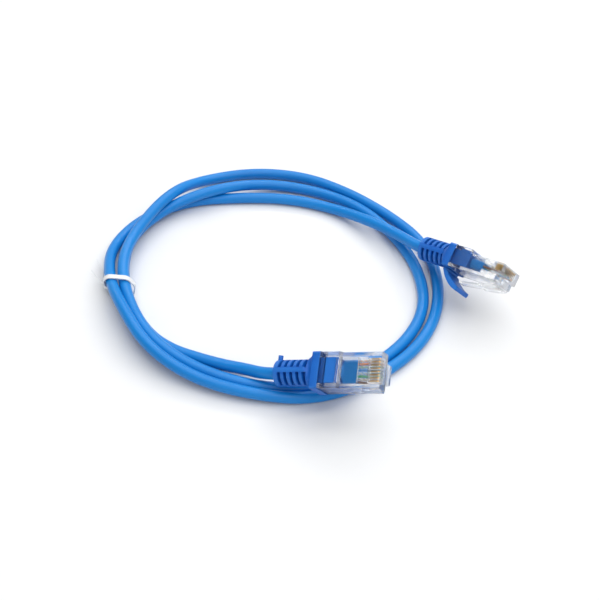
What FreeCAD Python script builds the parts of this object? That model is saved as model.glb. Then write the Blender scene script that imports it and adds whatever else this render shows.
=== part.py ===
import FreeCAD, Part
import Sketcher
import math
import os

# Ethernet patch cable: a round jacketed cable lying in about two and a half
# loose turns on a flat surface, held by a twist tie, with a clear 8-position
# modular plug and a ribbed boot on each end.
# Frame: millimetres, +Z up, the surface is Z = 0, origin under the middle of
# the plugs and the tie.
# Plug frame (each end): +X out of the nose (nose face at X = 0), +Y towards
# contact 1, +Z on the contact side (top of the front section at Z = 0).

V = FreeCAD.Vector
doc = FreeCAD.newDocument("patch_cable")

# ---------------------------------------------------------------- dimensions
SIZES = [
    ("origin_x", 0.147, "offset of the route frame to the origin"),
    ("origin_y", 253.72, "offset of the route frame to the origin"),
    # cable
    ("cable_diameter", 4.0, "outside diameter of the jacket"),
    ("cable_axis_drop", 2.2, "cable axis below the plug's contact face"),
    # plug housing
    ("plug_width", 11.68, "overall width"),
    ("plug_height", 6.6, "height of the front section"),
    ("plug_length", 21.46, "nose to rear face"),
    ("rear_rise", 1.4, "raised rear section above the contact face"),
    ("rear_front", 13.9, "nose to the raised section's top edge"),
    ("rear_ramp", 0.6, "length of the ramp in front of the raised section"),
    ("nose_face", 4.4, "height of the nose's flat front face"),
    ("nose_setback", 1.2, "setback of the nose below its front face"),
    ("housing_fillet", 0.35, "rounding of the long edges"),
    ("cavity_width", 8.4, "inside width behind the wires"),
    ("cavity_top", 0.42, "front cavity's ceiling below the contact face"),
    ("cavity_bottom", 5.2, "cavity's floor below the contact face"),
    ("cavity_front", 8.0, "nose to the front of the jacket cavity"),
    ("core_step", 13.6, "nose to the deeper rear cavity"),
    ("fan_front", 4.7, "nose to the end of the fan slot"),
    ("fan_top", 1.7, "fan slot's ceiling below the contact face"),
    ("fan_bottom", 3.95, "fan slot's floor below the contact face"),
    ("window_front", 14.8, "nose to the strain-relief window"),
    ("window_rear", 18.7, "nose to the window's rear edge"),
    ("window_width", 8.8, "window across the plug"),
    # contacts and wires
    ("contact_pitch", 1.016, "pitch of the eight contacts"),
    ("contact_thick", 0.35, "blade thickness"),
    ("contact_slot", 0.44, "slot width for a blade"),
    ("slot_front", 0.22, "nose to a slot's front end"),
    ("slot_rear", 4.5, "nose to a slot's rear end"),
    ("contact_front", 0.45, "nose to the blade's front edge"),
    ("contact_rear", 3.5, "nose to the blade's rear edge"),
    ("contact_recess", 0.3, "blade top below the contact face"),
    ("contact_foot", 2.78, "blade foot below the contact face"),
    ("wire_diameter", 0.72, "insulated conductor"),
    ("wire_channel", 0.84, "channel diameter for a conductor"),
    ("wire_level", 2.9, "conductor axis in the channels"),
    ("wire_front", 0.9, "nose to the conductor's tip"),
    ("jacket_front", 8.2, "nose to the cut end of the jacket"),
    ("flat_front", 13.2, "nose to the end of the flattened stretch"),
    ("flat_rear", 14.05, "nose to where the jacket is round"),
    ("flat_width", 7.8, "flattened jacket across the plug"),
    ("flat_height", 3.3, "height of the flattened jacket"),
    ("flat_drop", 2.75, "middle of the flattened jacket below the contact face"),
    ("jacket_rear", 36.0, "nose to where the free cable begins"),
    # boot
    ("hood_front", 20.56, "nose to the hood's front lip"),
    ("hood_rear", 23.2, "nose to the hood's rear"),
    ("hood_width", 12.2, "hood across the plug"),
    ("hood_top", 1.65, "hood above the contact face"),
    ("hood_bottom", 6.85, "hood below the contact face"),
    ("hood_fillet", 0.8, "rounding of the hood's long edges"),
    ("tail_front", 25.7, "nose to the round tail"),
    ("tail_rear", 36.55, "nose to the tail's end"),
    ("tail_radius", 4.3, "outside radius of the ribs"),
    ("rib_pitch", 2.2, "rib spacing"),
    ("rib_gap", 1.1, "gap between ribs"),
    ("rib_first", 25.13, "nose to the first gap's front"),
    ("rib_core", 2.45, "radius left inside a gap"),
    ("rib_sector", 67.0, "angle of each gap sector"),
    ("boot_bore", 2.03, "bore radius for the jacket"),
    ("post_reach", 5.5, "middle of the plug to the tip of the post on the last rib"),
    ("core_front", 14.2, "nose to the core block's front"),
    ("core_width", 8.2, "core block across the plug"),
    ("core_rise", 0.15, "core block's top above the contact face"),
    ("core_bottom", 5.1, "core block's underside below the contact face"),
    ("pad_top", 0.9, "key of the core in the window, above the contact face"),
    ("recess_clear", 0.02, "clearance of the hood's lip round the housing"),
    # latch
    ("latch_width", 6.02, "locking tab at the nose"),
    ("latch_tab", 3.25, "width of the release tab"),
    ("latch_shoulder", 8.0, "nose to the locking shoulders"),
    ("latch_pivot_x", 1.45, "nose to the tab's bend line"),
    ("latch_pivot_z", 7.1, "bend line below the contact face"),
    ("latch_groove", 0.42, "radius of the groove at the bend line"),
    # snag guard
    ("guard_width", 8.0, "guard across the plug"),
    ("guard_pivot_x", 22.25, "nose to the guard's bend line"),
    ("guard_pivot_z", 7.35, "bend line below the contact face"),
    ("guard_knuckle", 0.75, "radius of the guard's root"),
    ("guard_groove", 0.95, "groove in the hood round the root"),
    # tie
    ("tie_plane", 275.5, "position of the tie in the route frame"),
    ("tie_width", 1.8, "ribbon width"),
    ("tie_thick", 0.45, "ribbon thickness"),
    ("tie_inner", 2.42, "inside radius of the ribbon round a strand"),
    ("tie_wire", 0.2, "thickness of the wire in the ribbon"),
    ("tie_tail_width", 1.2, "width of the tie's loose ends"),
    ("tie_tail_thick", 0.3, "thickness of the tie's loose ends"),
]

sheet = doc.addObject("Spreadsheet::Sheet", "Sizes")
for row, (alias, number, note) in enumerate(SIZES, start=1):
    sheet.set("A%d" % row, note)
    sheet.set("B%d" % row, "%g" % number)
    sheet.setAlias("B%d" % row, alias)
doc.recompute()


class Size:
    """A number together with the sheet expression that gives it."""

    def __init__(self, number, text):
        self.number = float(number)
        self.text = text

    @staticmethod
    def of(other):
        if isinstance(other, Size):
            return other
        return Size(other, "%.6g" % other if other >= 0 else "(%.6g)" % other)

    def _join(self, other, sign, number):
        return Size(number, "(%s %s %s)" % (self.text, sign, other.text))

    def __add__(self, other):
        other = Size.of(other)
        return self._join(other, "+", self.number + other.number)

    def __radd__(self, other):
        return Size.of(other) + self

    def __sub__(self, other):
        other = Size.of(other)
        return self._join(other, "-", self.number - other.number)

    def __rsub__(self, other):
        return Size.of(other) - self

    def __mul__(self, other):
        other = Size.of(other)
        return self._join(other, "*", self.number * other.number)

    def __rmul__(self, other):
        return Size.of(other) * self

    def __truediv__(self, other):
        other = Size.of(other)
        return self._join(other, "/", self.number / other.number)

    def __neg__(self):
        return Size(-self.number, "(0 - %s)" % self.text)


D = {}
for alias, number, note in SIZES:
    D[alias] = Size(float(sheet.get(alias)), "Sizes." + alias)
N = {alias: size.number for alias, size in D.items()}

PLANES = {"XY": "XY_Plane", "XZ": "XZ_Plane", "YZ": "YZ_Plane"}
SUBPARTS = []


# ------------------------------------------------------------------- helpers
def new_body(label):
    body = doc.addObject("PartDesign::Body", label)
    body.Label = label
    if hasattr(body, "AllowCompound"):
        body.AllowCompound = True
    SUBPARTS.append(body)
    return body


def new_sketch(body, plane, name, offset=None):
    sk = body.newObject("Sketcher::SketchObject", name)
    for feature in body.Origin.OriginFeatures:
        if feature.Role == PLANES[plane]:
            sk.AttachmentSupport = [(feature, "")]
    sk.MapMode = "FlatFace"
    if offset is not None:
        offset = Size.of(offset)
        sk.AttachmentOffset = FreeCAD.Placement(V(0, 0, offset.number), FreeCAD.Rotation())
        sk.setExpression("AttachmentOffset.Base.z", offset.text)
    return sk


def bind(sk, index, size):
    if isinstance(size, Size) and "Sizes." in size.text:
        sk.setExpression("Constraints[%d]" % index, size.text)


def fix_point(sk, geo, pos, x, y):
    for kind, value in (("DistanceX", x), ("DistanceY", y)):
        size = Size.of(value)
        index = sk.addConstraint(Sketcher.Constraint(kind, -1, 1, geo, pos, size.number))
        bind(sk, index, size)


def outline(sk, points):
    """Closed straight-sided outline, each corner dimensioned from the origin."""
    pts = [(Size.of(x), Size.of(y)) for x, y in points]
    base = sk.GeometryCount
    count = len(pts)
    for i in range(count):
        a, b = pts[i], pts[(i + 1) % count]
        sk.addGeometry(Part.LineSegment(V(a[0].number, a[1].number, 0), V(b[0].number, b[1].number, 0)), False)
    for i in range(count):
        sk.addConstraint(Sketcher.Constraint("Coincident", base + i, 2, base + (i + 1) % count, 1))
    for i in range(count):
        fix_point(sk, base + i, 1, pts[i][0], pts[i][1])


def box_outline(sk, x0, x1, y0, y1):
    outline(sk, [(x0, y0), (x1, y0), (x1, y1), (x0, y1)])


def circle(sk, x, y, radius):
    x, y, radius = Size.of(x), Size.of(y), Size.of(radius)
    geo = sk.addGeometry(Part.Circle(V(x.number, y.number, 0), V(0, 0, 1), radius.number), False)
    fix_point(sk, geo, 3, x, y)
    index = sk.addConstraint(Sketcher.Constraint("Radius", geo, radius.number))
    bind(sk, index, radius)


def set_length(feature, length):
    length = Size.of(length)
    feature.Length = length.number
    if "Sizes." in length.text:
        feature.setExpression("Length", length.text)


def pad(body, sk, length, midplane=False, backwards=False, name="Pad"):
    feature = body.newObject("PartDesign::Pad", name)
    feature.Profile = sk
    set_length(feature, length)
    feature.Midplane = midplane
    feature.Reversed = backwards
    body.Tip = feature
    doc.recompute()
    return feature


def pocket(body, sk, length=None, midplane=False, backwards=False, name="Pocket"):
    before = body.Shape.Volume
    feature = body.newObject("PartDesign::Pocket", name)
    feature.Profile = sk
    if length is None:
        feature.Type = 1
    else:
        set_length(feature, length)
    feature.Midplane = midplane
    feature.Reversed = backwards
    body.Tip = feature
    doc.recompute()
    if not body.Shape.Volume < before - 1e-4:
        raise RuntimeError("%s %s cuts nothing" % (body.Label, name))
    return feature


def linear(body, feature, axis_role, length, count, name="Pattern", backwards=False):
    pattern = body.newObject("PartDesign::LinearPattern", name)
    pattern.Originals = [feature]
    for item in body.Origin.OriginFeatures:
        if item.Role == axis_role:
            pattern.Direction = (item, [""])
    length = Size.of(length)
    pattern.Length = length.number
    if "Sizes." in length.text:
        pattern.setExpression("Length", length.text)
    pattern.Occurrences = count
    pattern.Reversed = backwards
    body.Tip = pattern
    doc.recompute()
    return pattern


def fillet(body, feature, edges, radius, name="Fillet"):
    item = body.newObject("PartDesign::Fillet", name)
    item.Base = (feature, edges)
    radius = Size.of(radius)
    item.Radius = radius.number
    if "Sizes." in radius.text:
        item.setExpression("Radius", radius.text)
    body.Tip = item
    doc.recompute()
    return item


def edges_where(feature, test):
    names = []
    for i, edge in enumerate(feature.Shape.Edges, start=1):
        box = edge.BoundBox
        if test(box):
            names.append("Edge%d" % i)
    return names


def along_x(box, least=1.0):
    return box.XLength > least and box.YLength < 1e-4 and box.ZLength < 1e-4


# -------------------------------------------------- paths of runs and arcs
def run_and_arc_wire(points, fraction=0.45, radii=None):
    """Straight runs joined by tangent arcs, each as large as its runs allow."""
    pts = [V(*p) for p in points]
    edges = []
    here = pts[0]
    for i in range(1, len(pts) - 1):
        a, b, c = pts[i - 1], pts[i], pts[i + 1]
        one, two = b - a, c - b
        run = min(one.Length, two.Length)
        one, two = V(one).normalize(), V(two).normalize()
        turn = one.getAngle(two)
        tangent = fraction * run
        radius = tangent / math.tan(turn / 2.0)
        if radii is not None:
            radii.append(radius)
        start, end = b - one * tangent, b + two * tangent
        inward = V(two - one).normalize()
        reach = radius / math.cos(turn / 2.0)
        middle = b + inward * (reach - radius)
        edges.append(Part.LineSegment(here, start).toShape())
        edges.append(Part.Arc(start, middle, end).toShape())
        here = end
    edges.append(Part.LineSegment(here, pts[-1]).toShape())
    return Part.Wire(edges)


def round_tube(points, radius, fraction=0.45, radii=None):
    path = run_and_arc_wire(points, fraction, radii)
    first = V(*points[1]) - V(*points[0])
    ring = Part.Wire([Part.Circle(V(*points[0]), first, radius).toShape()])
    tube = path.makePipeShell([ring], True, False)
    if tube.ShapeType != "Solid":
        tube = Part.makeSolid(tube)
    return tube, path.Length


# ------------------------------------------------------------- plug pieces
def make_housing(end):
    body = new_body(end + "_housing")
    sk = new_sketch(body, "XZ", end + "_housing_side")
    rear = -D["plug_length"]
    top = D["rear_rise"]
    low = -D["plug_height"]
    outline(sk, [
        (0, 0),
        (-(D["rear_front"] - D["rear_ramp"]), 0),
        (-D["rear_front"], top),
        (rear, top),
        (rear, low),
        (-D["nose_setback"], low),
        (-D["nose_setback"], -D["nose_face"]),
        (0, -D["nose_face"]),
    ])
    block = pad(body, sk, D["plug_width"], midplane=True, name=end + "_housing_block")
    half = N["plug_width"] / 2
    names = edges_where(block, lambda box: along_x(box) and abs(abs(box.YMin) - half) < 1e-3)
    fillet(body, block, names, D["housing_fillet"], name=end + "_housing_edges")

    # jacket cavity, open at the rear
    sk = new_sketch(body, "YZ", end + "_cavity_mouth", offset=rear)
    half_cavity = D["cavity_width"] / 2
    box_outline(sk, -half_cavity, half_cavity, -D["cavity_bottom"], -D["cavity_top"])
    pocket(body, sk, D["plug_length"] - D["cavity_front"], backwards=True, name=end + "_cavity")
    # taller rear stretch for the boot's core
    sk = new_sketch(body, "YZ", end + "_core_seat_mouth", offset=rear)
    box_outline(sk, -half_cavity, half_cavity, -D["cavity_top"] - 0.5, D["core_rise"] + 0.1)
    pocket(body, sk, D["plug_length"] - D["core_step"], backwards=True, name=end + "_core_seat")
    # slot where the conductors fan out
    sk = new_sketch(body, "YZ", end + "_fan_mouth", offset=-D["cavity_front"] - 0.5)
    box_outline(sk, -half_cavity, half_cavity, -D["fan_bottom"], -D["fan_top"])
    pocket(body, sk, D["cavity_front"] + 0.5 - D["fan_front"], backwards=True, name=end + "_fan")
    # window over the core
    sk = new_sketch(body, "XY", end + "_window_outline", offset=D["rear_rise"] + 0.5)
    half_window = D["window_width"] / 2
    box_outline(sk, -D["window_rear"], -D["window_front"], -half_window, half_window)
    pocket(body, sk, D["rear_rise"] + 0.5 + 0.3, name=end + "_window")
    # eight conductor channels
    sk = new_sketch(body, "YZ", end + "_channel_round", offset=-D["fan_front"] - 0.3)
    circle(sk, -D["contact_pitch"] * 3.5, -D["wire_level"], D["wire_channel"] / 2)
    cut = pocket(body, sk, D["fan_front"] + 0.3 - D["wire_front"] + 0.05, backwards=True, name=end + "_channel")
    before = body.Shape.Volume
    linear(body, cut, "Y_Axis", D["contact_pitch"] * 7, 8, name=end + "_channels")
    if not body.Shape.Volume < before - 1:
        raise RuntimeError("channels")
    # eight contact slots
    sk = new_sketch(body, "XY", end + "_slot_outline", offset=0.5)
    y0 = -D["contact_pitch"] * 3.5
    half_slot = D["contact_slot"] / 2
    box_outline(sk, -D["slot_rear"], -D["slot_front"], y0 - half_slot, y0 + half_slot)
    cut = pocket(body, sk, 0.5 + D["wire_level"], name=end + "_slot")
    before = body.Shape.Volume
    linear(body, cut, "Y_Axis", D["contact_pitch"] * 7, 8, name=end + "_slots")
    if not body.Shape.Volume < before - 1:
        raise RuntimeError("slots")
    return body


def make_contacts(end):
    body = new_body(end + "_contact_blades")
    sk = new_sketch(body, "XZ", end + "_blade_side")
    front, rear = -D["contact_front"], -D["contact_rear"]
    top, foot = -D["contact_recess"], -D["contact_foot"]
    outline(sk, [
        (front, top - 0.45),
        (front - 0.13, top - 0.13),
        (front - 0.45, top),
        (rear, top),
        (rear, foot),
        (rear + 0.9, foot),
        (front - 1.2, top - 1.2),
        (front - 0.25, top - 0.75),
    ])
    blade = pad(body, sk, D["contact_thick"], midplane=True, name=end + "_blade")
    # the first blade stands at the far side, the row runs across the plug
    blade.AlongSketchNormal = True
    sk.AttachmentOffset = FreeCAD.Placement(V(0, 0, (D["contact_pitch"] * 3.5).number), FreeCAD.Rotation())
    sk.setExpression("AttachmentOffset.Base.z", (D["contact_pitch"] * 3.5).text)
    doc.recompute()
    linear(body, blade, "Y_Axis", D["contact_pitch"] * 7, 8, name=end + "_blades")
    return body


def wire_points(k):
    """Axis of conductor k (0..7, contact 1 first, at +Y)."""
    side = 3.5 - k
    y0, z0 = side * 0.96, -N["flat_drop"]
    y1, z1 = side * N["contact_pitch"], -N["wire_level"]
    return [
        (-N["jacket_front"], y0, z0),
        (-7.7, y0, z0),
        (-5.6, y1, z1),
        (-N["wire_front"], y1, z1),
    ]


def make_wire(end, k):
    item = doc.addObject("Part::Feature", "%s_wire_%d" % (end, k + 1))
    item.Label = "%s_wire_%d" % (end, k + 1)
    item.Shape, _ = round_tube(wire_points(k), N["wire_diameter"] / 2, fraction=0.4)
    SUBPARTS.append(item)
    return item


def make_jacket_end(end):
    body = new_body(end + "_jacket_end")
    sk = new_sketch(body, "YZ", end + "_jacket_round", offset=-D["jacket_rear"])
    circle(sk, 0, -D["cable_axis_drop"], D["cable_diameter"] / 2)
    pad(body, sk, D["jacket_rear"] - D["flat_rear"], name=end + "_jacket")
    # the jacket is pressed flat in front of the boot's core
    small = new_sketch(body, "YZ", end + "_press_round", offset=-D["flat_rear"])
    circle(small, 0, -D["cable_axis_drop"], D["cable_diameter"] / 2)
    large = new_sketch(body, "YZ", end + "_press_flat", offset=-D["flat_front"])
    half, mid, tall = D["flat_width"] / 2, -D["flat_drop"], D["flat_height"] / 2
    rounded_box(large, -half, half, mid - tall, mid + tall, 1.3)
    loft = body.newObject("PartDesign::AdditiveLoft", end + "_press")
    loft.Profile = small
    loft.Sections = [large]
    loft.Ruled = False
    body.Tip = loft
    doc.recompute()
    sk = new_sketch(body, "YZ", end + "_flat_outline", offset=-D["flat_front"])
    rounded_box(sk, -half, half, mid - tall, mid + tall, 1.3)
    pad(body, sk, D["flat_front"] - D["jacket_front"], name=end + "_flat")
    return body


def make_boot(end):
    body = new_body(end + "_boot")
    axis_z = -D["cable_axis_drop"]
    # hood behind the housing
    sk = new_sketch(body, "YZ", end + "_hood_outline", offset=-D["hood_rear"])
    half = D["hood_width"] / 2
    box_outline(sk, -half, half, -D["hood_bottom"], D["hood_top"])
    hood = pad(body, sk, D["hood_rear"] - D["hood_front"], name=end + "_hood")
    names = edges_where(hood, along_x)
    hood = fillet(body, hood, names, D["hood_fillet"], name=end + "_hood_edges")
    # taper to the round tail
    small = new_sketch(body, "YZ", end + "_taper_round", offset=-D["tail_front"])
    circle(small, 0, axis_z, D["tail_radius"])
    large = new_sketch(body, "YZ", end + "_taper_square", offset=-D["hood_rear"])
    inset = 0.25
    rounded_box(large, -half + inset, half - inset, -D["hood_bottom"] + 0.02, D["hood_top"] - inset, 1.4)
    middle = new_sketch(body, "YZ", end + "_taper_middle", offset=-D["hood_rear"] - 1.1)
    rounded_box(middle, -5.5, 5.5, -6.5, 0.95, 2.9)
    loft = body.newObject("PartDesign::AdditiveLoft", end + "_taper")
    loft.Profile = small
    loft.Sections = [middle, large]
    loft.Ruled = False
    body.Tip = loft
    doc.recompute()
    # round tail
    sk = new_sketch(body, "YZ", end + "_tail_round", offset=-D["tail_rear"])
    circle(sk, 0, axis_z, D["tail_radius"])
    tail = pad(body, sk, D["tail_rear"] - D["tail_front"], name=end + "_tail")
    # recess that takes the housing's rear edge
    sk = new_sketch(body, "YZ", end + "_recess_outline", offset=-D["plug_length"])
    clear = D["recess_clear"]
    half_plug = D["plug_width"] / 2 + clear
    box_outline(sk, -half_plug, half_plug, -D["plug_height"] - clear, D["rear_rise"] + clear)
    pocket(body, sk, D["plug_length"] - D["hood_front"] + 0.2, backwards=True, name=end + "_recess")
    # core block inside the housing
    sk = new_sketch(body, "YZ", end + "_core_outline", offset=-D["plug_length"] - 0.3)
    half_core = D["core_width"] / 2
    box_outline(sk, -half_core, half_core, -D["core_bottom"], D["core_rise"])
    pad(body, sk, D["plug_length"] + 0.3 - D["core_front"], name=end + "_core")
    # key of the core standing in the window
    sk = new_sketch(body, "XY", end + "_key_outline", offset=D["core_rise"] - 0.3)
    box_outline(sk, -D["window_rear"] + 0.08, -D["window_front"] - 0.08, -half_core, half_core)
    pad(body, sk, 0.3 + D["pad_top"] - D["core_rise"], name=end + "_key")
    # gaps between the ribs, four sectors each
    sk = new_sketch(body, "YZ", end + "_gap_outline", offset=-D["rib_first"] - D["rib_gap"])
    for quarter in range(4):
        sector(sk, 0.0, axis_z, D["rib_core"], D["tail_radius"] + 1.0, 45.0 + 90.0 * quarter, N["rib_sector"])
    gap = pocket(body, sk, D["rib_gap"], backwards=True, name=end + "_gap")
    before = body.Shape.Volume
    linear(body, gap, "X_Axis", D["rib_pitch"] * 4, 5, name=end + "_gaps", backwards=True)
    if not body.Shape.Volume < before - 50:
        raise RuntimeError("rib gaps")
    # bore for the jacket
    sk = new_sketch(body, "YZ", end + "_bore_round", offset=-D["tail_rear"] - 1)
    circle(sk, 0, axis_z, D["boot_bore"])
    pocket(body, sk, D["tail_rear"] + 1 - D["core_front"] + 1, backwards=True, name=end + "_bore")
    # groove for the root of the guard
    sk = new_sketch(body, "XZ", end + "_groove_round")
    circle(sk, -D["guard_pivot_x"], -D["guard_pivot_z"], D["guard_groove"])
    pocket(body, sk, D["guard_width"] + 0.5, midplane=True, name=end + "_groove")
    # small round post on the last rib, at contact 1's side
    sk = new_sketch(body, "XZ", end + "_post_round", offset=-3.2)
    circle(sk, -D["tail_rear"] + 0.55, -1.0, 0.8)
    pad(body, sk, D["post_reach"] - 3.2, backwards=True, name=end + "_post")
    return body


def rounded_box(sk, x0, x1, y0, y1, radius):
    x0, x1, y0, y1 = (Size.of(v).number for v in (x0, x1, y0, y1))
    corners = [
        (x0 + radius, y0 + radius, 180.0), (x1 - radius, y0 + radius, 270.0),
        (x1 - radius, y1 - radius, 0.0), (x0 + radius, y1 - radius, 90.0),
    ]
    base = sk.GeometryCount
    ends = []
    for cx, cy, start in corners:
        a, b = math.radians(start), math.radians(start + 90.0)
        ends.append((V(cx + radius * math.cos(a), cy + radius * math.sin(a), 0),
                     V(cx + radius * math.cos(b), cy + radius * math.sin(b), 0)))
    for i, (cx, cy, start) in enumerate(corners):
        ring = Part.Circle(V(cx, cy, 0), V(0, 0, 1), radius)
        sk.addGeometry(Part.ArcOfCircle(ring, math.radians(start), math.radians(start + 90.0)), False)
        sk.addGeometry(Part.LineSegment(ends[i][1], ends[(i + 1) % 4][0]), False)
    for i in range(4):
        arc, line, following = base + 2 * i, base + 2 * i + 1, base + (2 * i + 2) % 8
        sk.addConstraint(Sketcher.Constraint("Coincident", arc, 2, line, 1))
        sk.addConstraint(Sketcher.Constraint("Coincident", line, 2, following, 1))
        fix_point(sk, arc, 3, corners[i][0], corners[i][1])
        sk.addConstraint(Sketcher.Constraint("Radius", arc, radius))


def sector(sk, cx, cy, inner, outer, middle, spread):
    """Annular sector, its arcs centred on the cable's axis."""
    cx, cy, inner, outer = (Size.of(v) for v in (cx, cy, inner, outer))
    a0, a1 = math.radians(middle - spread / 2), math.radians(middle + spread / 2)
    base = sk.GeometryCount
    centre = V(cx.number, cy.number, 0)
    spot = lambda r, a: V(cx.number + r * math.cos(a), cy.number + r * math.sin(a), 0)
    ri, ro = inner.number, outer.number
    sk.addGeometry(Part.ArcOfCircle(Part.Circle(centre, V(0, 0, 1), ri), a0, a1), False)
    sk.addGeometry(Part.LineSegment(spot(ri, a1), spot(ro, a1)), False)
    sk.addGeometry(Part.ArcOfCircle(Part.Circle(centre, V(0, 0, 1), ro), a0, a1), False)
    sk.addGeometry(Part.LineSegment(spot(ro, a0), spot(ri, a0)), False)
    sk.addConstraint(Sketcher.Constraint("Coincident", base, 2, base + 1, 1))
    sk.addConstraint(Sketcher.Constraint("Coincident", base + 1, 2, base + 2, 2))
    sk.addConstraint(Sketcher.Constraint("Coincident", base + 2, 1, base + 3, 1))
    sk.addConstraint(Sketcher.Constraint("Coincident", base + 3, 2, base, 1))
    for geo, radius in ((base, inner), (base + 2, outer)):
        fix_point(sk, geo, 3, cx, cy)
        index = sk.addConstraint(Sketcher.Constraint("Radius", geo, radius.number))
        bind(sk, index, radius)


def make_latch(end):
    body = new_body(end + "_latch")
    sk = new_sketch(body, "XZ", end + "_latch_side")
    outline(sk, [
        (0, -D["nose_face"] - 0.15),
        (0, -7.6),
        (-0.6, -8.0),
        (-2.8, -8.45),
        (-D["latch_shoulder"], -9.2),
        (-16.3, -10.2),
        (-16.3, -9.45),
        (-D["latch_shoulder"], -8.15),
        (-2.6, -7.25),
        (-2.1, -D["plug_height"] - 0.15),
        (-D["nose_setback"] + 0.15, -D["plug_height"] - 0.15),
        (-D["nose_setback"] + 0.15, -D["nose_face"] - 0.15),
    ])
    pad(body, sk, D["latch_width"], midplane=True, name=end + "_latch_blank")
    sk = new_sketch(body, "XY", end + "_tab_sides", offset=-5.0)
    half, tab = D["latch_width"] / 2, D["latch_tab"] / 2
    box_outline(sk, -17.5, -D["latch_shoulder"], -half - 0.5, -tab)
    box_outline(sk, -17.5, -D["latch_shoulder"], tab, half + 0.5)
    pocket(body, sk, 6.0, name=end + "_tab")
    # round groove that thins the tab where it bends
    sk = new_sketch(body, "XZ", end + "_bend_round")
    circle(sk, -D["latch_pivot_x"], -D["latch_pivot_z"], D["latch_groove"])
    pocket(body, sk, D["latch_width"] + 1, midplane=True, name=end + "_bend")
    return body


# side profile of the guard: outer curve from the root to the tip, inner curve back
GUARD_OUTER = [(-22.86, -7.79), (-21.42, -9.6), (-19.52, -11.33), (-17.24, -12.75), (-14.85, -13.55)]
GUARD_TIP = [(-14.66, -13.5), (-14.35, -12.85), (-14.4, -12.12)]
GUARD_INNER = [(-14.5, -12.0), (-16.54, -11.21), (-18.45, -10.07), (-20.08, -8.83), (-21.1, -7.85), (-21.7, -7.7)]


def smooth_outline(sk, chains):
    """Closed outline of curves through points (a chain of two is a straight side)."""
    base = sk.GeometryCount
    for chain in chains:
        pts = [V(x, y, 0) for x, y in chain]
        if len(pts) == 2:
            sk.addGeometry(Part.LineSegment(pts[0], pts[1]), False)
        else:
            curve = Part.BSplineCurve()
            curve.interpolate(pts)
            sk.addGeometry(curve, False)
    count = len(chains)
    for i in range(count):
        sk.addConstraint(Sketcher.Constraint("Coincident", base + i, 2, base + (i + 1) % count, 1))
    for i, chain in enumerate(chains):
        fix_point(sk, base + i, 1, chain[0][0], chain[0][1])


def make_guard(end):
    body = new_body(end + "_snag_guard")
    sk = new_sketch(body, "XZ", end + "_guard_side")
    smooth_outline(sk, [
        GUARD_OUTER, [GUARD_OUTER[-1], GUARD_TIP[0]], GUARD_TIP, [GUARD_TIP[-1], GUARD_INNER[0]], GUARD_INNER,
        [GUARD_INNER[-1], (-22.2, -7.2)], [(-22.2, -7.2), GUARD_OUTER[0]],
    ])
    pad(body, sk, D["guard_width"], midplane=True, name=end + "_guard_plate")
    sk = new_sketch(body, "XZ", end + "_guard_root_round")
    circle(sk, -D["guard_pivot_x"], -D["guard_pivot_z"], D["guard_knuckle"])
    pad(body, sk, D["guard_width"], midplane=True, name=end + "_guard_root")
    return body


def make_end(end, placement):
    items = [make_housing(end), make_latch(end), make_contacts(end)]
    items += [make_wire(end, k) for k in range(8)]
    items += [make_jacket_end(end), make_boot(end), make_guard(end)]
    for item in items:
        item.Placement = placement
    doc.recompute()
    return items


# ------------------------------------------------------------ the two ends
def end_place(x, y, z, yaw, pitch, roll):
    return FreeCAD.Placement(V(x - N["origin_x"], y - N["origin_y"], z), FreeCAD.Rotation(yaw, pitch, roll))


PLACE_A = end_place(24.35, 219.79, 24.54, -19.3, -22.0, 28.5)
PLACE_B = end_place(70.82, 266.69, 21.62, -43.9, -16.0, -52.6)
make_end("a", PLACE_A)
make_end("b", PLACE_B)

# ------------------------------------------------------------ free cable
ROUTE = [
    (-6.12, 231.57, 9.26), (-11.37, 233.41, 7.01), (-17.43, 238.37, 3.62),
    (-28.14, 241.74, 2.69), (-47.18, 250.26, 1.88), (-58.25, 266.06, 2.37),
    (-63.96, 286.10, 3.07), (-62.33, 305.13, 3.29), (-49.53, 319.39, 4.89),
    (-32.28, 327.36, 6.91), (-13.91, 335.59, 2.79), (5.88, 332.20, 1.89),
    (22.66, 322.08, 2.30), (34.97, 306.29, 2.02), (42.73, 287.76, 2.03),
    (43.66, 267.90, 2.03), (35.13, 250.66, 2.03), (19.41, 237.30, 2.03),
    (2.57, 230.75, 2.02), (-17.31, 232.54, 2.04), (-36.51, 239.82, 3.57),
    (-50.32, 250.47, 5.67), (-59.81, 268.41, 6.62), (-63.75, 287.45, 7.24),
    (-59.23, 305.54, 7.12), (-48.38, 322.25, 9.82), (-37.22, 338.73, 2.04),
    (-18.43, 343.32, 2.03), (1.39, 340.73, 2.03), (17.98, 331.32, 2.03),
    (32.99, 318.03, 2.03), (45.18, 302.73, 2.03), (49.43, 284.23, 2.03),
    (47.53, 264.89, 2.03), (39.01, 248.23, 2.03), (23.20, 234.65, 2.03),
    (4.53, 226.79, 2.03), (-14.84, 227.97, 3.07), (-34.56, 234.22, 3.78),
    (-50.31, 244.96, 7.15), (-59.88, 260.59, 9.18), (-67.23, 278.43, 7.17),
    (-69.05, 298.11, 3.15), (-59.88, 315.38, 2.02), (-43.04, 325.73, 2.03),
    (-23.74, 327.85, 2.03), (-3.86, 327.18, 2.03), (14.20, 320.88, 2.03),
    (29.22, 306.89, 6.49), (37.26, 298.91, 7.33), (42.17, 291.84, 9.31),
    (44.94, 289.17, 10.41),
]
radii = []
route = [(x - N["origin_x"], y - N["origin_y"], z) for x, y, z in ROUTE]
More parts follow.
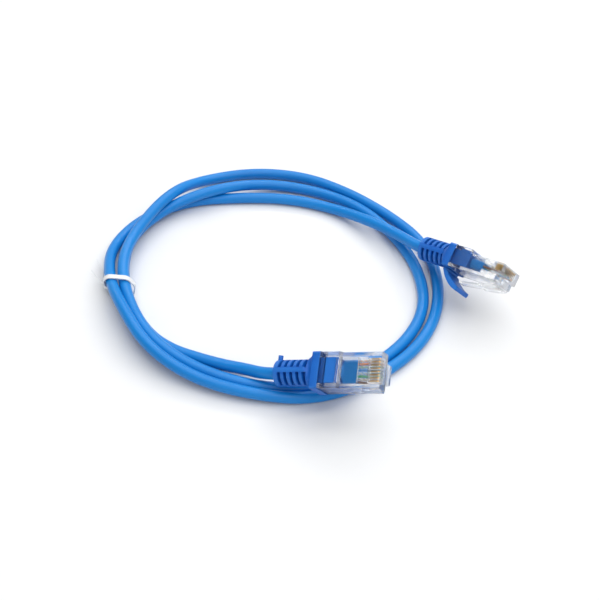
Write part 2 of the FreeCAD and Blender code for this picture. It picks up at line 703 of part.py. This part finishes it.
# the first and last runs leave the boots along their axes
for place, ends in ((PLACE_A, ((0, N["jacket_rear"]), (1, 42.0))), (PLACE_B, ((-1, N["jacket_rear"]), (-2, 40.0)))):
    for index, back in ends:
        route[index] = tuple(place.multVec(V(-back, 0, -N["cable_axis_drop"])))
tube, length = round_tube(route, N["cable_diameter"] / 2, radii=radii)
cable = doc.addObject("Part::Feature", "cable_jacket")
cable.Label = "cable_jacket"
cable.Shape = tube
SUBPARTS.append(cable)
area = math.pi * (N["cable_diameter"] / 2) ** 2
print("cable length %.2f volume %.2f section x length %.2f" % (length, tube.Volume, area * length))
print("arc radii", " ".join("%.1f" % r for r in radii), "least %.2f" % min(radii))


# ------------------------------------------------------------------- tie
STRANDS = [(-65.80, 7.42), (-60.95, 2.80), (-60.40, 5.40), (-61.35, 6.90)]


def tie_outline(radius, floor):
    """Slack outline round the strands, flattened at the floor."""
    y = N["tie_plane"] - N["origin_y"]
    cs = [(x - N["origin_x"], z) for x, z in STRANDS]
    tangents = []
    count = len(cs)
    for i in range(count):
        a, b = cs[i], cs[(i + 1) % count]
        dx, dz = b[0] - a[0], b[1] - a[1]
        size = math.hypot(dx, dz)
        out = (dz / size, -dx / size)
        tangents.append((V(a[0] + radius * out[0], y, a[1] + radius * out[1]),
                         V(b[0] + radius * out[0], y, b[1] + radius * out[1]), math.atan2(out[1], out[0])))
    edges = []
    for i in range(count):
        start, end, angle = tangents[i]
        following = tangents[(i + 1) % count]
        edges.append(Part.LineSegment(start, end).toShape())
        cx, cz = cs[(i + 1) % count]
        a0, a1 = angle, following[2]
        while a1 < a0:
            a1 += 2 * math.pi
        spot = lambda a: V(cx + radius * math.cos(a), y, cz + radius * math.sin(a))
        if i == 0:
            low = math.asin((floor - cz) / radius)
            p, q = -math.pi - low, low
            edges.append(Part.Arc(spot(a0), spot((a0 + p) / 2), spot(p)).toShape())
            edges.append(Part.LineSegment(spot(p), spot(q)).toShape())
            edges.append(Part.Arc(spot(q), spot((q + a1) / 2), spot(a1)).toShape())
        else:
            edges.append(Part.Arc(spot(a0), spot((a0 + a1) / 2), spot(a1)).toShape())
    return Part.Wire(edges)


def slab(wire, width):
    face = Part.Face(wire)
    solid = face.extrude(V(0, width, 0))
    solid.translate(V(0, -width / 2, 0))
    return solid


def place_point(x, y, z):
    return V(x - N["origin_x"], y - N["origin_y"], z)


def ribbon_section(centre, along, across, width, depth):
    """Rectangle square to `along`, its width as near `across` as it can be."""
    along = V(along).normalize()
    wide = across - along * across.dot(along)
    wide.normalize()
    thin = along.cross(wide)
    corners = [centre + wide * (i * width / 2) + thin * (j * depth / 2) for i, j in ((-1, -1), (1, -1), (1, 1), (-1, 1))]
    return Part.makePolygon(corners + [corners[0]])


def ribbon(points, across, width, depth, taper=1.0):
    """Strip through the points, its flat side turned to `across`."""
    sections = []
    last = len(points) - 1
    for i, point in enumerate(points):
        ahead = points[min(i + 1, last)] - points[max(i - 1, 0)]
        share = i / last
        sections.append(ribbon_section(point, ahead, across, width * (1 + (taper - 1) * share), depth))
    return Part.makeLoft(sections, True, True)


thick = N["tie_thick"]
outer = slab(tie_outline(N["tie_inner"] + thick, 0.0), N["tie_width"])
inner = slab(tie_outline(N["tie_inner"], thick), N["tie_width"] + 1)
band = outer.cut(inner)

# twisted knot under the outermost strand, turning half round along its length
knot_start, knot_end = place_point(-66.6, 275.9, 4.4), place_point(-69.2, 278.5, 2.15)
knot_line = knot_end - knot_start
turn_axis = V(knot_line).normalize()
first_wide = V(0, 0, 1)
sections = []
for i in range(7):
    spin = FreeCAD.Rotation(turn_axis, 30.0 * i)
    sections.append(ribbon_section(knot_start + knot_line * (i / 6.0), turn_axis, spin.multVec(first_wide), 1.45, 0.8))
knot = Part.makeLoft(sections, True, True)

# two loose ends of the ribbon
lean = V(0.175, -0.705, 0.688)
tail_one = ribbon([place_point(*p) for p in [
    (-68.85, 278.25, 2.1), (-69.45, 278.8, 2.6), (-70.02, 279.31, 3.19), (-71.04, 280.04, 4.2),
    (-72.41, 280.98, 5.51), (-73.6, 282.06, 6.92)]], lean, N["tie_tail_width"], N["tie_tail_thick"], 0.8)
tail_two = ribbon([place_point(*p) for p in [
    (-68.85, 278.25, 2.1), (-69.6, 279.6, 1.95), (-70.1, 281.8, 1.85), (-70.4, 284.0, 1.9), (-70.55, 286.25, 2.1),
    (-71.3, 287.9, 2.6), (-72.55, 289.7, 3.3), (-73.3, 290.9, 4.1)]], lean, N["tie_tail_width"], N["tie_tail_thick"], 0.8)
ribbon_all = band.fuse([knot, tail_one, tail_two])
if ribbon_all.ShapeType != "Solid":
    ribbon_all = ribbon_all.Solids[0] if len(ribbon_all.Solids) == 1 else ribbon_all
half_wire = N["tie_wire"] / 2
core = slab(tie_outline(N["tie_inner"] + thick / 2 + half_wire, thick / 2 - half_wire), N["tie_wire"]).cut(
    slab(tie_outline(N["tie_inner"] + thick / 2 - half_wire, thick / 2 + half_wire), N["tie_wire"] * 2))
tie = doc.addObject("Part::Feature", "twist_tie")
tie.Label = "twist_tie"
tie.Shape = ribbon_all.cut(core)
SUBPARTS.append(tie)
wire = doc.addObject("Part::Feature", "tie_wire")
wire.Label = "tie_wire"
wire.Shape = core
SUBPARTS.append(wire)
doc.recompute()

# ------------------------------------------------------------------ output
for item in doc.Objects:
    if "Invalid" in item.State or "Error" in item.State:
        raise RuntimeError("%s failed: %s" % (item.Label, item.State))
os.makedirs("parts", exist_ok=True)
whole = None
for item in SUBPARTS:
    shape = item.Shape
    if shape.isNull() or not shape.isValid():
        raise RuntimeError("%s has a bad shape" % item.Label)
    print("%-20s solids %d volume %.3f" % (item.Label, len(shape.Solids), shape.Volume))
    shape.exportStep("parts/%s.step" % item.Label)
    if item.Label != "cable_jacket":
        box = shape.optimalBoundingBox(True, False)
        whole = box if whole is None else whole.united(box)
print("pieces apart from the free cable: X %.3f %.3f Y %.3f %.3f Z %.3f %.3f" % (
    whole.XMin, whole.XMax, whole.YMin, whole.YMax, whole.ZMin, whole.ZMax))
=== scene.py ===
import bpy
import bmesh
import math
import random
from mathutils import Vector, Euler, Matrix


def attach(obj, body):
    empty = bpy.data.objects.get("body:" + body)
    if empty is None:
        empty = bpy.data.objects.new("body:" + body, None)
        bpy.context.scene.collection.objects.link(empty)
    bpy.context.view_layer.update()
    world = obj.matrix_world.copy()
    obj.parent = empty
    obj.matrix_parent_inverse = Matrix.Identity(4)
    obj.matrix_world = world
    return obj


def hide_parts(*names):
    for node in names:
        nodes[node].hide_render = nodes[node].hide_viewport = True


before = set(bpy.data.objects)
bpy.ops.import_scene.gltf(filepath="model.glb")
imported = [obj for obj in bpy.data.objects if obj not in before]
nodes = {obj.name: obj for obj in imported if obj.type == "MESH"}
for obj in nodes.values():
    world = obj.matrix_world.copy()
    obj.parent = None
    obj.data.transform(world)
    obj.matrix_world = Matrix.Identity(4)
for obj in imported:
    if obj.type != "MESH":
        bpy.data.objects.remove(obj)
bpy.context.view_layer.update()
random.seed(7)
scene = bpy.context.scene


# ------------------------------------------------------------------ camera
cam_data = bpy.data.cameras.new("camera")
cam_data.lens = 66.0
cam_data.sensor_width = 36.0
cam_data.clip_start = 0.01
cam_data.clip_end = 20.0
cam_data.dof.use_dof = False
camera = bpy.data.objects.new("camera", cam_data)
scene.collection.objects.link(camera)
camera.location = (-0.000147, -0.253720, 0.274)
camera.rotation_euler = (math.radians(45.0), 0.0, 0.0)
scene.camera = camera

# ------------------------------------------------------------------- cable
# Control points of the free cable's axis, from the front plug's boot to the
# right-hand plug's boot.
ROUTE = [
    (-0.006269, -0.022147, 0.009262), (-0.011520, -0.020308, 0.007014), (-0.017577, -0.015350, 0.003620),
    (-0.028287, -0.011980, 0.002690), (-0.047327, -0.003460, 0.001880), (-0.058397, 0.012340, 0.002370),
    (-0.064107, 0.032380, 0.003070), (-0.062477, 0.051410, 0.003290), (-0.049677, 0.065670, 0.004890),
    (-0.032427, 0.073640, 0.006910), (-0.014057, 0.081870, 0.002790), (0.005733, 0.078480, 0.001890),
    (0.022513, 0.068360, 0.002300), (0.034823, 0.052570, 0.002020), (0.042583, 0.034040, 0.002030),
    (0.043513, 0.014180, 0.002030), (0.034983, -0.003060, 0.002030), (0.019263, -0.016420, 0.002030),
    (0.002423, -0.022970, 0.002020), (-0.017457, -0.021180, 0.002040), (-0.036657, -0.013900, 0.003570),
    (-0.050467, -0.003250, 0.005670), (-0.059957, 0.014690, 0.006620), (-0.063897, 0.033730, 0.007240),
    (-0.059377, 0.051820, 0.007120), (-0.048527, 0.068530, 0.009820), (-0.037367, 0.085010, 0.002040),
    (-0.018577, 0.089600, 0.002030), (0.001243, 0.087010, 0.002030), (0.017833, 0.077600, 0.002030),
    (0.032843, 0.064310, 0.002030), (0.045033, 0.049010, 0.002030), (0.049283, 0.030510, 0.002030),
    (0.047383, 0.011170, 0.002030), (0.038863, -0.005490, 0.002030), (0.023053, -0.019070, 0.002030),
    (0.004383, -0.026930, 0.002030), (-0.014987, -0.025750, 0.003070), (-0.034707, -0.019500, 0.003780),
    (-0.050457, -0.008760, 0.007150), (-0.060027, 0.006870, 0.009180), (-0.067377, 0.024710, 0.007170),
    (-0.069197, 0.044390, 0.003150), (-0.060027, 0.061660, 0.002020), (-0.043187, 0.072010, 0.002030),
    (-0.023887, 0.074130, 0.002030), (-0.004007, 0.073460, 0.002030), (0.014053, 0.067160, 0.002030),
    (0.029073, 0.053170, 0.006490), (0.037113, 0.045190, 0.007330), (0.042021, 0.038117, 0.009310),
    (0.044792, 0.035451, 0.010413),
]
CABLE_R = 0.002

curve = bpy.data.curves.new("cable", "CURVE")
curve.dimensions = "3D"
spline = curve.splines.new("NURBS")
spline.points.add(len(ROUTE) - 1)
for point, (x, y, z) in zip(spline.points, ROUTE):
    point.co = (x, y, z, 1.0)
    point.radius = CABLE_R
spline.order_u = 3
spline.use_endpoint_u = True
spline.resolution_u = 10
curve.resolution_u = 10
curve.bevel_depth = 1.0
curve.bevel_resolution = 9
curve.use_fill_caps = True
cable = bpy.data.objects.new("cable", curve)
scene.collection.objects.link(cable)
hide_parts("cable_jacket")
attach(cable, "cable")


# --------------------------------------------------------------- materials
PLUG_FRAME = {
    "a": ((0.024203, -0.033930, 0.024540), (28.5, -22.0, -19.3)),
    "b": ((0.070673, 0.012970, 0.021620), (-52.6, -16.0, -43.9)),
}


class Nodes:
    """A material's node tree, with short ways to add and join nodes."""

    def __init__(self, name):
        self.mat = bpy.data.materials.new(name)
        self.mat.use_nodes = True
        self.tree = self.mat.node_tree
        self.tree.nodes.clear()
        self.out = self.tree.nodes.new("ShaderNodeOutputMaterial")

    def new(self, kind, **values):
        node = self.tree.nodes.new(kind)
        for key, value in values.items():
            if key in node.inputs:
                node.inputs[key].default_value = value
            else:
                setattr(node, key, value)
        return node

    def join(self, a, b):
        self.tree.links.new(a, b)

    def math(self, operation, a, b=None, c=None, clamp=False):
        node = self.tree.nodes.new("ShaderNodeMath")
        node.operation = operation
        node.use_clamp = clamp
        for socket, value in zip(node.inputs, (a, b, c)):
            if value is None:
                continue
            if isinstance(value, (int, float)):
                socket.default_value = value
            else:
                self.join(value, socket)
        return node.outputs[0]

    def coords(self, end=None):
        """Object coordinates in metres, or the plug's own frame in millimetres."""
        tex = self.new("ShaderNodeTexCoord")
        if end is None:
            return tex.outputs["Object"]
        place, turn = PLUG_FRAME[end]
        mapping = self.tree.nodes.new("ShaderNodeMapping")
        mapping.vector_type = "TEXTURE"
        mapping.inputs["Location"].default_value = place
        mapping.inputs["Rotation"].default_value = [math.radians(a) for a in turn]
        mapping.inputs["Scale"].default_value = (0.001, 0.001, 0.001)
        self.join(tex.outputs["Object"], mapping.inputs["Vector"])
        return mapping.outputs["Vector"]

    def noise(self, vector, scale, detail=3.0, rough=0.5, distortion=0.0):
        node = self.new("ShaderNodeTexNoise")
        node.inputs["Scale"].default_value = scale
        node.inputs["Detail"].default_value = detail
        node.inputs["Roughness"].default_value = rough
        node.inputs["Distortion"].default_value = distortion
        self.join(vector, node.inputs["Vector"])
        return node.outputs["Fac"]

    def stretch(self, vector, scale):
        mapping = self.tree.nodes.new("ShaderNodeMapping")
        mapping.inputs["Scale"].default_value = scale
        self.join(vector, mapping.inputs["Vector"])
        return mapping.outputs["Vector"]

    def ramp(self, fac, stops):
        node = self.tree.nodes.new("ShaderNodeValToRGB")
        ramp = node.color_ramp
        while len(ramp.elements) > len(stops):
            ramp.elements.remove(ramp.elements[-1])
        while len(ramp.elements) < len(stops):
            ramp.elements.new(0.5)
        for element, (position, colour) in zip(ramp.elements, stops):
            element.position = position
            element.color = tuple(colour) + (1.0,) if len(colour) == 3 else colour
        self.join(fac, node.inputs["Fac"])
        return node.outputs["Color"]

    def mix(self, fac, a, b, blend="MIX"):
        node = self.tree.nodes.new("ShaderNodeMix")
        node.data_type = "RGBA"
        node.blend_type = blend
        for socket, value in ((node.inputs[0], fac), (node.inputs[6], a), (node.inputs[7], b)):
            if isinstance(value, (int, float)):
                socket.default_value = value
            elif isinstance(value, (tuple, list)):
                socket.default_value = tuple(value) + (1.0,) if len(value) == 3 else value
            else:
                self.join(value, socket)
        return node.outputs[2]

    def range(self, value, low, high, to_low, to_high):
        node = self.new("ShaderNodeMapRange")
        node.inputs["From Min"].default_value = low
        node.inputs["From Max"].default_value = high
        node.inputs["To Min"].default_value = to_low
        node.inputs["To Max"].default_value = to_high
        self.join(value, node.inputs["Value"])
        return node.outputs["Result"]

    def bump(self, height, strength, distance, normal=None):
        node = self.new("ShaderNodeBump")
        node.inputs["Strength"].default_value = strength
        node.inputs["Distance"].default_value = distance
        self.join(height, node.inputs["Height"])
        if normal is not None:
            self.join(normal, node.inputs["Normal"])
        return node.outputs["Normal"]

    def shader(self, colour=None, rough=None, normal=None, **constants):
        node = self.new("ShaderNodeBsdfPrincipled")
        for key, value in constants.items():
            node.inputs[key.replace("_", " ")].default_value = value
        if colour is not None:
            self.join(colour, node.inputs["Base Color"])
        if rough is not None:
            self.join(rough, node.inputs["Roughness"])
        if normal is not None:
            self.join(normal, node.inputs["Normal"])
        self.join(node.outputs[0], self.out.inputs["Surface"])
        return node


def srgb(r, g, b):
    def line(c):
        c /= 255.0
        return c / 12.92 if c <= 0.04045 else ((c + 0.055) / 1.055) ** 2.4
    return (line(r), line(g), line(b))


def jacket_material(name, along=None):
    """Soft blue jacket: fine extrusion grain, faint sheen lines and dull patches."""
    m = Nodes(name)
    place = m.coords()
    broad = m.noise(place, 26.0, 2.0)
    fine = m.noise(place, 900.0, 3.0, 0.6)
    grain = m.noise(place, 5200.0, 2.0, 0.6)
    colour = m.ramp(broad, [(0.32, srgb(9, 119, 197)), (0.68, srgb(15, 129, 207))])
    colour = m.mix(m.range(fine, 0.35, 0.75, 0.0, 0.10), colour, srgb(42, 140, 214))
    rough = m.range(m.noise(place, 120.0, 4.0, 0.55), 0.3, 0.7, 0.30, 0.36)
    height = m.math("ADD", m.math("MULTIPLY", fine, 0.5), m.math("MULTIPLY", grain, 0.5))
    normal = m.bump(height, 0.18, 0.00003)
    m.shader(colour, rough, normal, Specular_IOR_Level=0.33)
    return m.mat


def boot_material(end):
    """Moulded flexible PVC: fine spark-eroded grain; sharp convex edges carry a painted highlight, mixed
    toward a paler blue.
    """
    m = Nodes(end + "_boot_vinyl")
    place = m.coords(end)
    broad = m.noise(place, 0.12, 2.0)
    grain = m.noise(place, 7.0, 3.0, 0.65)
    fine = m.noise(place, 19.0, 2.0, 0.6)
    colour = m.ramp(broad, [(0.3, srgb(3, 82, 174)), (0.7, srgb(8, 95, 187))])
    colour = m.mix(m.range(grain, 0.45, 0.8, 0.0, 0.12), colour, srgb(40, 124, 210))
    # painted highlight: edges picked out by pointiness are mixed toward a paler, lit-looking blue
    geometry = m.new("ShaderNodeNewGeometry")
    painted_edge_highlight = m.range(geometry.outputs["Pointiness"], 0.52, 0.60, 0.0, 0.35)
    colour = m.mix(painted_edge_highlight, colour, srgb(54, 136, 220))
    rough = m.range(m.noise(place, 1.4, 4.0, 0.6), 0.3, 0.7, 0.40, 0.52)
    height = m.math("ADD", m.math("MULTIPLY", grain, 0.6), m.math("MULTIPLY", fine, 0.4))
    rounded = m.new("ShaderNodeBevel")
    rounded.samples = 4
    rounded.inputs["Radius"].default_value = 0.0003
    normal = m.bump(height, 0.30, 0.00005, rounded.outputs["Normal"])
    m.shader(colour, rough, normal, Specular_IOR_Level=0.36)
    return m.mat


def clear_material(end, name):
    """Clear moulded polycarbonate: faint flow lines, handling marks, bright rims."""
    m = Nodes(end + "_" + name)
    place = m.coords(end)
    flow = m.noise(m.stretch(place, (0.25, 1.4, 1.4)), 0.9, 3.0, 0.5, 0.4)
    marks = m.noise(place, 3.2, 4.0, 0.6)
    rough = m.range(marks, 0.35, 0.75, 0.005, 0.03)
    tint = m.ramp(flow, [(0.2, (0.955, 0.97, 0.98)), (0.8, (0.985, 0.99, 0.995))])
    normal = m.bump(flow, 0.08, 0.00015)
    shader = m.shader(tint, rough, normal, IOR=1.49, Transmission_Weight=1.0, Specular_IOR_Level=0.5)
    facing = m.new("ShaderNodeLayerWeight")
    facing.inputs["Blend"].default_value = 0.35
    m.join(normal, facing.inputs["Normal"])
    body = m.range(marks, 0.3, 0.7, 0.86, 0.92)
    m.join(m.math("SUBTRACT", body, m.math("MULTIPLY", facing.outputs["Facing"], 0.20), clamp=True), shader.inputs["Alpha"])
    return m.mat


def contact_material(end):
    """Gold-plated phosphor bronze blades, lightly brushed along their length."""
    m = Nodes(end + "_contact_gold")
    place = m.coords(end)
    brushed = m.noise(m.stretch(place, (0.6, 8.0, 8.0)), 3.0, 3.0, 0.6)
    colour = m.ramp(brushed, [(0.3, (0.90, 0.53, 0.14)), (0.7, (1.0, 0.69, 0.27))])
    rough = m.range(brushed, 0.3, 0.7, 0.20, 0.36)
    normal = m.bump(brushed, 0.15, 0.00002)
    m.shader(colour, rough, normal, Metallic=1.0)
    return m.mat


def wire_material(end, name, colour, stripe=None, axis=None):
    """Insulated conductor: plain colour, or pale with a printed colour stripe."""
    m = Nodes(end + "_" + name)
    place = m.coords(end)
    mottled = m.noise(place, 2.5, 3.0)
    deep = tuple(c * 0.86 for c in colour)
    base = m.ramp(mottled, [(0.3, deep), (0.7, colour)])
    if stripe is not None:
        wave = m.tree.nodes.new("ShaderNodeTexWave")
        wave.wave_type = "BANDS"
        wave.bands_direction = "DIAGONAL"
        wave.inputs["Scale"].default_value = 0.42
        wave.inputs["Distortion"].default_value = 0.6
        wave.inputs["Detail"].default_value = 1.0
        m.join(place, wave.inputs["Vector"])
        base = m.mix(m.range(wave.outputs["Fac"], 0.74, 0.82, 0.0, 0.8), base, stripe)
    rough = m.range(mottled, 0.3, 0.7, 0.32, 0.46)
    normal = m.bump(m.noise(place, 9.0, 2.0), 0.15, 0.00003)
    m.shader(base, rough, normal, Specular_IOR_Level=0.5)
    return m.mat


def tie_material():
    """White plastic-coated tie: fine cross ribs and faint scuffs."""
    m = Nodes("tie_plastic")
    place = m.coords()
    ribs = m.noise(m.stretch(place, (1.0, 6.0, 1.0)), 420.0, 3.0, 0.55)
    scuff = m.noise(place, 240.0, 4.0, 0.6)
    colour = m.ramp(scuff, [(0.3, (0.68, 0.69, 0.70)), (0.7, (0.78, 0.79, 0.80))])
    rough = m.range(scuff, 0.3, 0.7, 0.38, 0.55)
    normal = m.bump(ribs, 0.25, 0.00005)
    m.shader(colour, rough, normal, Specular_IOR_Level=0.5)
    return m.mat


def steel_material():
    m = Nodes("tie_wire_steel")
    place = m.coords()
    drawn = m.noise(m.stretch(place, (1.0, 9.0, 1.0)), 900.0, 3.0, 0.6)
    colour = m.ramp(drawn, [(0.3, (0.42, 0.42, 0.43)), (0.7, (0.62, 0.62, 0.63))])
    m.shader(colour, m.range(drawn, 0.3, 0.7, 0.25, 0.42), m.bump(drawn, 0.2, 0.00001), Metallic=1.0)
    return m.mat


def dress(name, material):
    mesh = nodes[name].data
    mesh.materials.clear()
    mesh.materials.append(material)


jacket = jacket_material("jacket_vinyl")
curve.materials.append(jacket)
dress("cable_jacket", jacket)
PAIRS = [
    ("wire_1", (0.90, 0.84, 0.78), (0.90, 0.36, 0.12)),
    ("wire_2", (0.88, 0.32, 0.10), None),
    ("wire_3", (0.82, 0.90, 0.84), (0.16, 0.55, 0.26)),
    ("wire_4", (0.12, 0.36, 0.75), None),
    ("wire_5", (0.84, 0.90, 0.94), (0.14, 0.36, 0.75)),
    ("wire_6", (0.10, 0.46, 0.18), None),
    ("wire_7", (0.88, 0.84, 0.78), (0.36, 0.20, 0.12)),
    ("wire_8", (0.22, 0.11, 0.06), None),
]
for end in "ab":
    boot = boot_material(end)
    dress(end + "_boot", boot)
    dress(end + "_snag_guard", boot)
    clear = clear_material(end, "housing_clear")
    dress(end + "_housing", clear)
    dress(end + "_latch", clear)
    dress(end + "_contact_blades", contact_material(end))
    dress(end + "_jacket_end", jacket)
    for name, colour, stripe in PAIRS:
        dress(end + "_" + name, wire_material(end, name + "_insulation", colour, stripe))
tie = tie_material()
dress("twist_tie", tie)
dress("tie_wire", steel_material())

# ------------------------------------------------------------ floor, light
floor_mesh = bpy.data.meshes.new("floor")
build = bmesh.new()
bmesh.ops.create_grid(build, x_segments=4, y_segments=4, size=3.0)
build.to_mesh(floor_mesh)
build.free()
floor = bpy.data.objects.new("floor", floor_mesh)
floor.location = (0.0, 0.0, -0.00002)
scene.collection.objects.link(floor)
m = Nodes("floor_paper")
paper = m.noise(m.coords(), 60.0, 3.0)
m.shader(m.ramp(paper, [(0.3, (0.775, 0.78, 0.785)), (0.7, (0.79, 0.793, 0.797))]), None, None, Roughness=0.7, Specular_IOR_Level=0.25)
floor_mesh.materials.append(m.mat)

world = bpy.data.worlds.new("studio")
world.use_nodes = True
background = world.node_tree.nodes["Background"]
# white walls round the table, a dimmer ceiling
tree = world.node_tree
direction = tree.nodes.new("ShaderNodeTexCoord")
split = tree.nodes.new("ShaderNodeSeparateXYZ")
walls = tree.nodes.new("ShaderNodeValToRGB")
walls.color_ramp.elements[0].position = 0.10
walls.color_ramp.elements[0].color = (0.96, 0.98, 1.0, 1.0)
walls.color_ramp.elements[1].position = 0.75
walls.color_ramp.elements[1].color = (0.22, 0.225, 0.23, 1.0)
tree.links.new(direction.outputs["Generated"], split.inputs[0])
tree.links.new(split.outputs["Z"], walls.inputs["Fac"])
tree.links.new(walls.outputs["Color"], background.inputs["Color"])
background.inputs["Strength"].default_value = 0.64
scene.world = world


def softbox(name, place, aim, size, power, colour=(1.0, 1.0, 1.0)):
    data = bpy.data.lights.new(name, "AREA")
    data.shape = "RECTANGLE"
    data.size, data.size_y = size
    data.energy = power
    data.color = colour
    lamp = bpy.data.objects.new(name, data)
    lamp.location = place
    lamp.rotation_euler = (Vector(aim) - Vector(place)).to_track_quat("-Z", "Y").to_euler()
    scene.collection.objects.link(lamp)
    return lamp


softbox("key", (0.20, 0.12, 0.90), (0.0, 0.02, 0.0), (1.5, 1.3), 13.4)
softbox("fill", (0.0, -0.70, 0.60), (0.0, 0.0, 0.0), (1.2, 0.7), 1.8)
softbox("strip", (0.05, 0.85, 0.70), (0.0, 0.02, 0.0), (1.7, 0.08), 3.4)

scene.view_settings.view_transform = "Standard"
scene.view_settings.look = "None"
scene.view_settings.exposure = 0.0
scene.view_settings.gamma = 1.0
